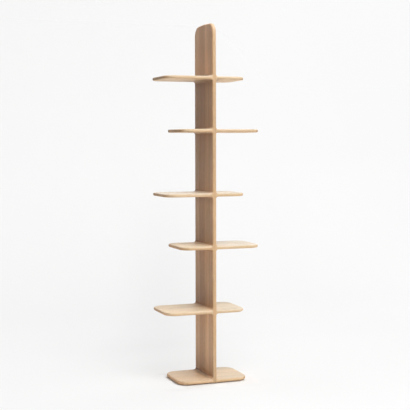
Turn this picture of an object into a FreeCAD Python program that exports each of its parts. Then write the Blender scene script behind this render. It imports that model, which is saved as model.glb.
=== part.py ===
import FreeCAD, Part
import Sketcher
import math
import os

# Free-standing bookshelf: one upright spine board, five shelves and a base, each made of
# a left and a right wing that is housed in the spine and doweled through it.
# Frame: +Z up, +X right, +Y to the back. Origin on the floor, under the middle of the spine.
# Levels are counted from the top: shelves 1, 3 and 5 reach further left, 2 and 4 further right.

doc = FreeCAD.newDocument("spine_bookshelf")
V = FreeCAD.Vector

# ---------------------------------------------------------------- driving dimensions (mm)
ROWS = [
    ("total_height", 2000.0, "floor to the highest point of the spine's crowned top"),
    ("board_depth", 287.0, "front to back, of spine, shelves and base alike"),
    ("spine_thick", 23.0, "spine board thickness"),
    ("shelf_thick", 18.0, "shelf wing thickness"),
    ("base_thick", 19.0, "base wing thickness"),
    ("pad_height", 5.0, "floor pad thickness, lifts the base off the floor"),
    ("pad_dia", 24.0, "floor pad diameter"),
    ("pad_inset_x", 160.0, "floor pad centre from the spine's middle plane"),
    ("pad_inset_y", 96.0, "floor pad centre from the middle of the depth"),
    ("long_reach", 280.0, "spine middle plane to the end of a long wing"),
    ("short_reach", 190.0, "spine middle plane to the end of a short wing"),
    ("base_reach", 205.0, "spine middle plane to the end of a base wing"),
    ("shelf_corner", 60.0, "plan radius of a shelf's outer corners"),
    ("base_corner", 66.0, "plan radius of the base's outer corners"),
    ("spine_corner", 56.0, "radius of the spine's two top corners"),
    ("crown_radius", 1250.0, "long radius of the spine's top edge, seen from the side"),
    ("edge_round", 7.5, "roundover routed along every outer edge"),
    ("cove_radius", 13.0, "cove between a wing and the spine"),
    ("housing_depth", 2.5, "depth of the housing in each face of the spine"),
    ("level_one", 1697.0, "middle plane of shelf 1"),
    ("level_two", 1407.0, "middle plane of shelf 2"),
    ("level_three", 1052.5, "middle plane of shelf 3"),
    ("level_four", 759.5, "middle plane of shelf 4"),
    ("level_five", 402.0, "middle plane of shelf 5"),
    ("dowel_dia", 8.0, "beech dowel diameter"),
    ("dowel_hole_dia", 8.2, "dowel hole, with room for glue"),
    ("dowel_half", 40.0, "half of a dowel's length"),
    ("dowel_hole_half", 41.0, "dowel hole's end from the spine's middle plane"),
    ("dowel_near", 36.0, "inner dowels from the middle of the depth"),
    ("dowel_far", 108.0, "outer dowels from the middle of the depth"),
    ("dowel_chamfer", 0.8, "chamfer on a dowel's ends"),
    ("insert_height", 1900.0, "wall tether insert above the floor"),
    ("insert_dia", 6.0, "outer diameter of the tether insert"),
    ("insert_length", 10.0, "length of the tether insert"),
    ("insert_bore_dia", 3.3, "core diameter of the M4 thread in the insert"),
    ("insert_hole_dia", 6.04, "hole for the insert in the spine"),
    ("insert_hole_depth", 12.0, "depth of that hole"),
    ("insert_chamfer", 0.4, "chamfer on the insert's rims"),
    ("stub", 10.0, "working allowance past a cove, cut away again"),
]
sheet = doc.addObject("Spreadsheet::Sheet", "Dimensions")
D = {}
for i, (alias, value, note) in enumerate(ROWS):
    row = str(i + 1)
    sheet.set("A" + row, alias)
    sheet.set("B" + row, repr(value))
    sheet.set("C" + row, note)
    sheet.setAlias("B" + row, alias)
    D[alias] = value
doc.recompute()


def val(expr):
    """Number that an expression on the sheet's aliases stands for."""
    total = 0.0
    for term in expr.replace("-", "+-").split("+"):
        term = term.strip()
        if not term:
            continue
        sign = 1.0
        if term.startswith("-"):
            sign = -1.0
            term = term[1:].strip()
        div = 1.0
        if "/" in term:
            term, d = term.split("/")
            term = term.strip()
            div = float(d)
        total += sign * (D[term] if term in D else float(term)) / div
    return total


def full(expr):
    """The same expression as FreeCAD reads it."""
    out = []
    for word in expr.replace("-", " - ").replace("+", " + ").replace("/", " / ").split():
        out.append("Dimensions." + word if word in D else word)
    return " ".join(out)


def neg(expr):
    """Minus a sum of aliases, written as a sum again."""
    flipped = expr.replace("-", "~").replace("+", "-").replace("~", "+")
    return "-" + flipped if not flipped.startswith(("+", "-")) else flipped


def plane(body, role):
    return [o for o in body.Origin.OriginFeatures if o.Role == role][0]


def new_sketch(body, name, role):
    sk = body.newObject("Sketcher::SketchObject", name)
    sk.AttachmentSupport = [(plane(body, role), "")]
    sk.MapMode = "FlatFace"
    return sk


def dim(sk, kind, geo, pos, expr):
    """Distance of a point from the sketch's origin along one axis, bound to the sheet."""
    v = val(expr)
    if abs(v) < 1e-9:
        sk.addConstraint(Sketcher.Constraint("PointOnObject", geo, pos, -2 if kind == "DistanceX" else -1))
        return
    if v > 0:
        c = sk.addConstraint(Sketcher.Constraint(kind, -1, 1, geo, pos, v))
        text = full(expr)
    else:
        c = sk.addConstraint(Sketcher.Constraint(kind, geo, pos, -1, 1, -v))
        text = full(neg(expr))
    label = "k%d" % c
    sk.renameConstraint(c, label)
    sk.setExpression("Constraints." + label, text)


def outline(sk, pts):
    """Closed outline of level and upright lines through (x, y) expressions."""
    n = len(pts)
    xy = [V(val(a), val(b), 0) for a, b in pts]
    first = sk.GeometryCount
    for i in range(n):
        sk.addGeometry(Part.LineSegment(xy[i], xy[(i + 1) % n]), False)
    for i in range(n):
        sk.addConstraint(Sketcher.Constraint("Coincident", first + i, 2, first + (i + 1) % n, 1))
    for i in range(n):
        j = (i + 1) % n
        if abs(xy[i].x - xy[j].x) < 1e-7:
            sk.addConstraint(Sketcher.Constraint("Vertical", first + i))
            dim(sk, "DistanceX", first + i, 1, pts[i][0])
        else:
            sk.addConstraint(Sketcher.Constraint("Horizontal", first + i))
            dim(sk, "DistanceY", first + i, 1, pts[i][1])


def circle(sk, x, y, dia):
    g = sk.addGeometry(Part.Circle(V(val(x), val(y), 0), V(0, 0, 1), val(dia) / 2.0), False)
    c = sk.addConstraint(Sketcher.Constraint("Diameter", g, val(dia)))
    sk.renameConstraint(c, "k%d" % c)
    sk.setExpression("Constraints.k%d" % c, full(dia))
    dim(sk, "DistanceX", g, 3, x)
    dim(sk, "DistanceY", g, 3, y)


def pad(body, sk, name, length):
    p = body.newObject("PartDesign::Pad", name)
    p.Profile = sk
    p.SideType = "Symmetric"
    p.setExpression("Length", full(length))
    doc.recompute()
    return p


def pocket_through(body, sk, name):
    """Cut a sketch through the whole body, both ways."""
    before = body.Shape.Volume
    k = body.newObject("PartDesign::Pocket", name)
    k.Profile = sk
    k.SideType = "Symmetric"
    k.Type = "ThroughAll"
    doc.recompute()
    assert body.Shape.Volume < before - 1.0, name + " cut nothing"
    assert body.Shape.Volume > before / 50, name + " cut away too much"
    return k


def pocket_deep(body, sk, name, depth, reverse):
    """Cut a sketch to a stated depth, one way."""
    before = body.Shape.Volume
    k = body.newObject("PartDesign::Pocket", name)
    k.Profile = sk
    k.Type = "Length"
    k.Reversed = reverse
    k.setExpression("Length", full(depth))
    doc.recompute()
    assert body.Shape.Volume < before - 1.0, name + " cut nothing"
    return k


def round_edges(body, name, radius, want):
    """Fillet of the edges of the body's present tip that pass a test."""
    base = body.Tip
    names = ["Edge%d" % (i + 1) for i, e in enumerate(base.Shape.Edges) if want(e)]
    assert names, name + " found no edge"
    f = body.newObject("PartDesign::Fillet", name)
    f.Base = (base, names)
    f.setExpression("Radius", full(radius))
    doc.recompute()
    assert "Invalid" not in f.State and not f.Shape.isNull(), name + " failed"
    return f


def ends(e):
    vs = [v.Point for v in e.Vertexes]
    return (vs[0], vs[-1])


def near(a, b):
    return abs(a - b) < 1e-4


# ---------------------------------------------------------------- spine board
LEVELS = ["level_one", "level_two", "level_three", "level_four", "level_five"]
depth, ts, t, tb = D["board_depth"], D["spine_thick"], D["shelf_thick"], D["base_thick"]
cove, rnd, foot, top = D["cove_radius"], D["edge_round"], D["pad_height"], D["total_height"]

spine = doc.addObject("PartDesign::Body", "spine_board")
spine.Label = "spine_board"

# A block as wide as the coves need, as deep as the boards.
half_block = "spine_thick/2+cove_radius+stub"
sk = new_sketch(spine, "spine_block", "XZ_Plane")
outline(sk, [(neg(half_block), "pad_height"), (half_block, "pad_height"),
             (half_block, "total_height"), (neg(half_block), "total_height")])
pad(spine, sk, "spine_block_pad", "board_depth")

# The open bays beside the board, one between each two levels, leave the board itself and a
# short stub of every level.
sk = new_sketch(spine, "bays", "XZ_Plane")
sides = ["total_height+stub"]
floors = ["level_one+shelf_thick/2"]
for upper, lower in zip(LEVELS[:-1], LEVELS[1:]):
    sides.append(upper + "-shelf_thick/2")
    floors.append(lower + "+shelf_thick/2")
sides.append("level_five-shelf_thick/2")
floors.append("pad_height+base_thick")
for hi, lo in zip(sides, floors):
    for inner, outer in (("spine_thick/2", half_block + "+stub"), ("-spine_thick/2", neg(half_block + "+stub"))):
        outline(sk, [(inner, lo), (outer, lo), (outer, hi), (inner, hi)])
pocket_through(spine, sk, "bay_cuts")

# Coves in the inner corners, then the rounded top corners.
corner_z = [foot + tb] + [D[n] + s * t / 2 for n in LEVELS for s in (-1, 1)]
round_edges(spine, "coves", "cove_radius", lambda e: all(
    near(abs(p.x), ts / 2) and any(near(p.z, z) for z in corner_z) for p in ends(e)) and near(e.Length, depth))

# The top edge is crowned: a long arc from front to back, highest over the middle of the depth.
crown = D["crown_radius"]
reach_y = "board_depth/2+stub"
sk = new_sketch(spine, "crown", "YZ_Plane")
w = val(reach_y)
shoulder, lid = top - crown + (crown ** 2 - w ** 2) ** 0.5, top + D["stub"]
half_angle = math.asin(w / crown)
arc = sk.addGeometry(Part.ArcOfCircle(Part.Circle(V(0, top - crown, 0), V(0, 0, 1), crown),
                                      math.pi / 2 - half_angle, math.pi / 2 + half_angle), False)
right_side = sk.addGeometry(Part.LineSegment(V(w, shoulder, 0), V(w, lid, 0)), False)
lid_line = sk.addGeometry(Part.LineSegment(V(w, lid, 0), V(-w, lid, 0)), False)
left_side = sk.addGeometry(Part.LineSegment(V(-w, lid, 0), V(-w, shoulder, 0)), False)
sk.addConstraint(Sketcher.Constraint("Coincident", arc, 1, right_side, 1))
sk.addConstraint(Sketcher.Constraint("Coincident", right_side, 2, lid_line, 1))
sk.addConstraint(Sketcher.Constraint("Coincident", lid_line, 2, left_side, 1))
sk.addConstraint(Sketcher.Constraint("Coincident", left_side, 2, arc, 2))
sk.addConstraint(Sketcher.Constraint("Vertical", right_side))
sk.addConstraint(Sketcher.Constraint("Vertical", left_side))
sk.addConstraint(Sketcher.Constraint("Horizontal", lid_line))
c = sk.addConstraint(Sketcher.Constraint("Radius", arc, crown))
sk.renameConstraint(c, "k%d" % c)
sk.setExpression("Constraints.k%d" % c, full("crown_radius"))
dim(sk, "DistanceX", right_side, 2, reach_y)
dim(sk, "DistanceX", left_side, 1, neg(reach_y))
dim(sk, "DistanceY", lid_line, 1, "total_height+stub")
dim(sk, "DistanceX", arc, 3, "0")
dim(sk, "DistanceY", arc, 3, "total_height-crown_radius")
pocket_through(spine, sk, "crown_cut")

corner_top = top - crown + (crown ** 2 - (depth / 2) ** 2) ** 0.5
round_edges(spine, "top_corners", "spine_corner", lambda e: all(
    near(p.z, corner_top) and near(abs(p.y), depth / 2) for p in ends(e)) and near(e.Length, ts))


# The roundover runs up each front and back edge, turns through the coves along the stubs and
# goes over the top.
stub_x = ts / 2 + cove + D["stub"]


def spine_rim(e):
    a, b = ends(e)
    mid = e.valueAt((e.FirstParameter + e.LastParameter) / 2.0)
    on_face = near(abs(a.y), depth / 2) and near(abs(b.y), depth / 2) and near(a.y, b.y)
    side = near(abs(mid.x), ts / 2) and near(abs(a.x), ts / 2) and near(abs(b.x), ts / 2)
    if on_face:
        # not the ends of the stubs
        return not (near(abs(a.x), stub_x) and near(abs(b.x), stub_x))
    # the crown and the corner arcs over the top, on both faces of the board
    return side and mid.z > top - D["spine_corner"] - 12.0


round_edges(spine, "roundover", "edge_round", spine_rim)

# Cut the stubs away, flush with the faces of the board, then sink the housings.
sk = new_sketch(spine, "stub_trim", "XZ_Plane")
for inner, outer in (("spine_thick/2", half_block + "+stub"), ("-spine_thick/2", neg(half_block + "+stub"))):
    outline(sk, [(inner, "pad_height-stub"), (outer, "pad_height-stub"),
                 (outer, "total_height+stub"), (inner, "total_height+stub")])
pocket_through(spine, sk, "stub_cuts")

housing_x = "spine_thick/2-housing_depth"
sk = new_sketch(spine, "housings", "XZ_Plane")
for name in LEVELS:
    hi = name + "+shelf_thick/2+cove_radius"
    lo = name + "-shelf_thick/2-cove_radius"
    for inner, outer in ((housing_x, half_block), (neg(housing_x), neg(half_block))):
        outline(sk, [(inner, lo), (outer, lo), (outer, hi), (inner, hi)])
for inner, outer in ((housing_x, half_block), (neg(housing_x), neg(half_block))):
    outline(sk, [(inner, "pad_height-stub"), (outer, "pad_height-stub"),
                 (outer, "pad_height+base_thick+cove_radius"), (inner, "pad_height+base_thick+cove_radius")])
pocket_through(spine, sk, "housing_cuts")

# Dowel holes through the core of every level and of the foot.
base_mid = "pad_height+base_thick/2"
sk = new_sketch(spine, "dowel_holes", "YZ_Plane")
for zc in LEVELS + [base_mid]:
    for y in ("-dowel_far", "-dowel_near", "dowel_near", "dowel_far"):
        circle(sk, y, zc, "dowel_hole_dia")
pocket_through(spine, sk, "dowel_hole_cuts")

# Hole for the wall tether insert, drilled from the back edge.
sk = new_sketch(spine, "tether_hole", "XZ_Plane")
sk.AttachmentOffset = FreeCAD.Placement(V(0, 0, -depth / 2), FreeCAD.Rotation())
sk.setExpression("AttachmentOffset.Base.z", full("-board_depth/2"))
circle(sk, "0", "insert_height", "insert_hole_dia")
doc.recompute()
cut = pocket_deep(spine, sk, "tether_hole_cut", "insert_hole_depth", True)


# ---------------------------------------------------------------- wings
def wing(name, reach, thick, corner, level, left, has_lower_cove):
    """A shelf or base wing, made pointing right from the crossing and turned for the left side.

    It is cut from a tee: an upright stub of the spine with the shelf running out of it, so
    that cove and roundover run on into those of the spine. The stub then comes off at the
    bottom of the housing.
    """
    body = doc.addObject("PartDesign::Body", name)
    body.Label = name
    up = thick + "/2+cove_radius+stub"
    sk = new_sketch(body, name + "_tee", "XZ_Plane")
    if has_lower_cove:
        pts = [("0", neg(up)), ("spine_thick/2", neg(up)), ("spine_thick/2", "-" + thick + "/2"),
               (reach, "-" + thick + "/2"), (reach, thick + "/2"), ("spine_thick/2", thick + "/2"),
               ("spine_thick/2", up), ("0", up)]
    else:
        pts = [("0", "-" + thick + "/2"), (reach, "-" + thick + "/2"), (reach, thick + "/2"),
               ("spine_thick/2", thick + "/2"), ("spine_thick/2", up), ("0", up)]
    outline(sk, pts)
    pad(body, sk, name + "_pad", "board_depth")
    h = D[thick] / 2
    far = D[reach]
    round_edges(body, name + "_coves", "cove_radius", lambda e: all(
        near(p.x, ts / 2) and near(abs(p.z), h) for p in ends(e)))
    round_edges(body, name + "_corners", corner, lambda e: all(
        near(p.x, far) and near(abs(p.y), depth / 2) for p in ends(e)) and near(e.Length, 2 * h))

    def rim(e):
        a, b = ends(e)
        mid = e.valueAt((e.FirstParameter + e.LastParameter) / 2.0)
        if near(a.x, 0) and near(b.x, 0):
            return False
        # the end of the stub
        if not near(a.z, b.z) and near(e.Length, 2 * h):
            return False
        if near(a.z, b.z) and abs(a.z) > h + cove + 1.0:
            return False
        if near(a.y, b.y) and near(abs(a.y), depth / 2):
            return True
        # round the outer corners and across the end, top and bottom
        return near(abs(a.z), h) and near(abs(b.z), h) and near(a.z, b.z) and mid.x > far - D[corner] - 1.0

    round_edges(body, name + "_roundover", "edge_round", rim)

    lip = thick + "/2+cove_radius"
    sk = new_sketch(body, name + "_shoulder", "XZ_Plane")
    if has_lower_cove:
        outline(sk, [("-stub", neg(up + "+stub")), ("spine_thick/2+housing_depth", neg(up + "+stub")),
                     ("spine_thick/2+housing_depth", neg(lip)), (housing_x, neg(lip)), (housing_x, lip),
                     ("spine_thick/2+housing_depth", lip), ("spine_thick/2+housing_depth", up + "+stub"),
                     ("-stub", up + "+stub")])
    else:
        outline(sk, [("-stub", neg(up)), (housing_x, neg(up)), (housing_x, lip),
                     ("spine_thick/2+housing_depth", lip), ("spine_thick/2+housing_depth", up + "+stub"),
                     ("-stub", up + "+stub")])
    pocket_through(body, sk, name + "_shoulder_cut")

    sk = new_sketch(body, name + "_dowel_holes", "YZ_Plane")
    for y in ("-dowel_far", "-dowel_near", "dowel_near", "dowel_far"):
        circle(sk, y, "0", "dowel_hole_dia")
    pocket_deep(body, sk, name + "_dowel_hole_cut", "dowel_hole_half", True)

    if left:
        body.Placement = FreeCAD.Placement(V(0, 0, val(level)), FreeCAD.Rotation(V(0, 0, 1), 180))
    else:
        body.Placement = FreeCAD.Placement(V(0, 0, val(level)), FreeCAD.Rotation())
    body.setExpression("Placement.Base.z", full(level))
    doc.recompute()
    return body


pieces = [spine]
for i, level in enumerate(LEVELS):
    odd = i % 2 == 0
    pieces.append(wing("shelf_%d_left" % (i + 1), "long_reach" if odd else "short_reach",
                       "shelf_thick", "shelf_corner", level, True, True))
    pieces.append(wing("shelf_%d_right" % (i + 1), "short_reach" if odd else "long_reach",
                       "shelf_thick", "shelf_corner", level, False, True))
pieces.append(wing("base_left", "base_reach", "base_thick", "base_corner", base_mid, True, False))
pieces.append(wing("base_right", "base_reach", "base_thick", "base_corner", base_mid, False, False))


# ---------------------------------------------------------------- dowels, one group per level
def dowels(name, level):
    body = doc.addObject("PartDesign::Body", name)
    body.Label = name
    body.AllowCompound = True
    sk = new_sketch(body, name + "_rounds", "YZ_Plane")
    for y in ("-dowel_far", "-dowel_near", "dowel_near", "dowel_far"):
        circle(sk, y, "0", "dowel_dia")
    p = pad(body, sk, name + "_pad", "dowel_half+dowel_half")
    c = body.newObject("PartDesign::Chamfer", name + "_ends")
    c.Base = (p, ["Edge%d" % (i + 1) for i, e in enumerate(p.Shape.Edges)
                  if e.Curve.TypeId == "Part::GeomCircle"])
    c.setExpression("Size", full("dowel_chamfer"))
    body.Placement = FreeCAD.Placement(V(0, 0, val(level)), FreeCAD.Rotation())
    body.setExpression("Placement.Base.z", full(level))
    doc.recompute()
    return body


for i, level in enumerate(LEVELS):
    pieces.append(dowels("dowels_level_%d" % (i + 1), level))
pieces.append(dowels("dowels_base", base_mid))


# ---------------------------------------------------------------- floor pads
for name, sx, sy in (("floor_pad_front_left", "-", "-"), ("floor_pad_front_right", "", "-"),
                     ("floor_pad_back_left", "-", ""), ("floor_pad_back_right", "", "")):
    disc = doc.addObject("Part::Cylinder", name)
    disc.Label = name
    disc.setExpression("Radius", full("pad_dia/2"))
    disc.setExpression("Height", full("pad_height"))
    disc.Placement = FreeCAD.Placement(V(val(sx + "pad_inset_x"), val(sy + "pad_inset_y"), 0), FreeCAD.Rotation())
    disc.setExpression("Placement.Base.x", full(sx + "pad_inset_x"))
    disc.setExpression("Placement.Base.y", full(sy + "pad_inset_y"))
    doc.recompute()
    pieces.append(disc)

# ---------------------------------------------------------------- wall tether insert
ins = doc.addObject("PartDesign::Body", "tether_insert")
ins.Label = "tether_insert"
sk = new_sketch(ins, "insert_ring", "XZ_Plane")
circle(sk, "0", "0", "insert_dia")
circle(sk, "0", "0", "insert_bore_dia")
p = ins.newObject("PartDesign::Pad", "insert_pad")
p.Profile = sk
p.setExpression("Length", full("insert_length"))
doc.recompute()
c = ins.newObject("PartDesign::Chamfer", "insert_rims")
c.Base = (p, ["Edge%d" % (i + 1) for i, e in enumerate(p.Shape.Edges)
              if e.Curve.TypeId == "Part::GeomCircle" and near(e.Curve.Radius, D["insert_dia"] / 2)])
c.setExpression("Size", full("insert_chamfer"))
ins.Placement = FreeCAD.Placement(V(0, depth / 2, D["insert_height"]), FreeCAD.Rotation())
ins.setExpression("Placement.Base.y", full("board_depth/2"))
ins.setExpression("Placement.Base.z", full("insert_height"))
doc.recompute()
pieces.append(ins)

# ---------------------------------------------------------------- checks and files
doc.recompute()
bad = []
for o in doc.Objects:
    if "Invalid" in o.State or "Error" in o.State:
        bad.append(o.Name + " " + str(o.State))
    if o.TypeId == "Sketcher::SketchObject" and o.solve() != 0:
        bad.append(o.Name + " does not solve")
for o in pieces:
    if o.Shape.isNull() or not o.Shape.isValid() or len(o.Shape.Solids) < 1:
        bad.append(o.Label + " has no good shape")
if bad:
    raise RuntimeError("; ".join(bad))

os.makedirs("parts", exist_ok=True)
for o in pieces:
    o.Shape.exportStep("parts/" + o.Label + ".step")
    b = o.Shape.BoundBox
    print("%-24s %d solid(s) %12.1f mm3  x %.1f..%.1f  y %.1f..%.1f  z %.1f..%.1f" % (
        o.Label, len(o.Shape.Solids), o.Shape.Volume, b.XMin, b.XMax, b.YMin, b.YMax, b.ZMin, b.ZMax))
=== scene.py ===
import bpy
import bmesh
import math
import random
from mathutils import Matrix, Vector


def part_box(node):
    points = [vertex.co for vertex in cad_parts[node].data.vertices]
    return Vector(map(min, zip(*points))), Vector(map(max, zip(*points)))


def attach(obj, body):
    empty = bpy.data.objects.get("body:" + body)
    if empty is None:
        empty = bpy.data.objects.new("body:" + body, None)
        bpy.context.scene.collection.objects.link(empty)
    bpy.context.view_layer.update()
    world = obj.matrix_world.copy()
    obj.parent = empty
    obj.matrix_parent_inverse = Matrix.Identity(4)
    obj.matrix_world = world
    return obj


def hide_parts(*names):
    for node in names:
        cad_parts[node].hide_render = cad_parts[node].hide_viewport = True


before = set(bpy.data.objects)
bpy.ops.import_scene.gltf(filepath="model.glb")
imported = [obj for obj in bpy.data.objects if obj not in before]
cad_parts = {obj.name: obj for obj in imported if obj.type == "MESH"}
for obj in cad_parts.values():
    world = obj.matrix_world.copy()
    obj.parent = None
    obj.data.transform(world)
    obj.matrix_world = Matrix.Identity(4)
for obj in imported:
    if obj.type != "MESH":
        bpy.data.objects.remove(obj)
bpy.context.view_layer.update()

# ------------------------------------------------------------------ camera
cam_data = bpy.data.cameras.new("camera")
cam = bpy.data.objects.new("camera", cam_data)
bpy.context.scene.collection.objects.link(cam)
CAM_POS = Vector((-1.9943, -5.3259, 1.3344))
YAW, PITCH, ROLL = math.radians(20.50), math.radians(-3.464), math.radians(-0.125)
fwd = Vector((math.sin(YAW) * math.cos(PITCH), math.cos(YAW) * math.cos(PITCH), math.sin(PITCH)))
right = Vector((math.cos(YAW), -math.sin(YAW), 0.0))
up = right.cross(fwd)
r2 = right * math.cos(ROLL) + up * math.sin(ROLL)
u2 = up * math.cos(ROLL) - right * math.sin(ROLL)
cam.matrix_world = Matrix((
    (r2.x, u2.x, -fwd.x, CAM_POS.x),
    (r2.y, u2.y, -fwd.y, CAM_POS.y),
    (r2.z, u2.z, -fwd.z, CAM_POS.z),
    (0, 0, 0, 1)))
cam_data.sensor_fit = "HORIZONTAL"
cam_data.sensor_width = 36.0
cam_data.lens = 1008.63 / 410.0 * 36.0
cam_data.clip_end = 100.0
bpy.context.scene.camera = cam


# ------------------------------------------------------------------ node helpers
class Net:
    """A node tree written as arithmetic: every call adds one node and returns its output."""

    def __init__(self, tree):
        self.t = tree
        self.n = tree.nodes
        self.l = tree.links

    def put(self, socket, value):
        if isinstance(value, bpy.types.NodeSocket):
            self.l.new(value, socket)
        else:
            socket.default_value = value

    def math(self, op, a, b=0.0, c=0.0, clamp=False):
        m = self.n.new("ShaderNodeMath")
        m.operation = op
        m.use_clamp = clamp
        for i, x in enumerate((a, b, c)):
            self.put(m.inputs[i], x)
        return m.outputs[0]

    def add(self, a, b):
        return self.math("ADD", a, b)

    def sub(self, a, b):
        return self.math("SUBTRACT", a, b)

    def mul(self, a, b):
        return self.math("MULTIPLY", a, b)

    def mad(self, a, b, c):
        return self.math("MULTIPLY_ADD", a, b, c)

    def vec(self, op, a, b=(0, 0, 0)):
        m = self.n.new("ShaderNodeVectorMath")
        m.operation = op
        self.put(m.inputs[0], a)
        self.put(m.inputs[1], b)
        return m.outputs["Value"] if op in ("DOT_PRODUCT", "LENGTH", "DISTANCE") else m.outputs[0]

    def xyz(self, v):
        m = self.n.new("ShaderNodeSeparateXYZ")
        self.put(m.inputs[0], v)
        return m.outputs[0], m.outputs[1], m.outputs[2]

    def join(self, x, y, z):
        m = self.n.new("ShaderNodeCombineXYZ")
        for i, a in enumerate((x, y, z)):
            self.put(m.inputs[i], a)
        return m.outputs[0]

    def noise(self, v, scale=1.0, detail=2.0, rough=0.5, dims="3D", w=0.0, color=False, distortion=0.0):
        m = self.n.new("ShaderNodeTexNoise")
        m.noise_dimensions = dims
        if dims != "1D":
            self.put(m.inputs["Vector"], v)
        if dims in ("1D", "4D"):
            self.put(m.inputs["W"], w)
        self.put(m.inputs["Scale"], scale)
        self.put(m.inputs["Detail"], detail)
        self.put(m.inputs["Roughness"], rough)
        self.put(m.inputs["Distortion"], distortion)
        return m.outputs["Color"] if color else m.outputs["Fac"]

    def white(self, w, dims="1D", color=False):
        m = self.n.new("ShaderNodeTexWhiteNoise")
        m.noise_dimensions = dims
        self.put(m.inputs["W"], w)
        return m.outputs["Color"] if color else m.outputs["Value"]

    def ramp(self, fac, stops, mode="LINEAR"):
        m = self.n.new("ShaderNodeValToRGB")
        m.color_ramp.interpolation = mode
        e = m.color_ramp.elements
        while len(e) < len(stops):
            e.new(0.5)
        for el, (pos, col) in zip(e, stops):
            el.position = pos
            el.color = (*col, 1.0) if isinstance(col, tuple) else (col, col, col, 1.0)
        self.put(m.inputs[0], fac)
        return m.outputs[0]

    def remap(self, v, a, b, c=0.0, d=1.0, smooth=True):
        m = self.n.new("ShaderNodeMapRange")
        m.interpolation_type = "SMOOTHSTEP" if smooth else "LINEAR"
        m.clamp = True
        for i, x in enumerate((v, a, b, c, d)):
            self.put(m.inputs[i], x)
        return m.outputs[0]

    def mix(self, fac, a, b, mode="MIX"):
        m = self.n.new("ShaderNodeMix")
        m.data_type = "RGBA"
        m.blend_type = mode
        self.put(m.inputs[0], fac)
        self.put(m.inputs[6], a)
        self.put(m.inputs[7], b)
        return m.outputs[2]

    def pick(self, fac, a, b):
        m = self.n.new("ShaderNodeMix")
        m.data_type = "VECTOR"
        self.put(m.inputs[0], fac)
        self.put(m.inputs[4], a)
        self.put(m.inputs[5], b)
        return m.outputs[1]

    def lerp(self, fac, a, b):
        m = self.n.new("ShaderNodeMix")
        m.data_type = "FLOAT"
        self.put(m.inputs[0], fac)
        self.put(m.inputs[2], a)
        self.put(m.inputs[3], b)
        return m.outputs[0]


def fresh(name):
    m = bpy.data.materials.new(name)
    m.use_nodes = True
    m.node_tree.nodes.clear()
    return m, Net(m.node_tree)


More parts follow.
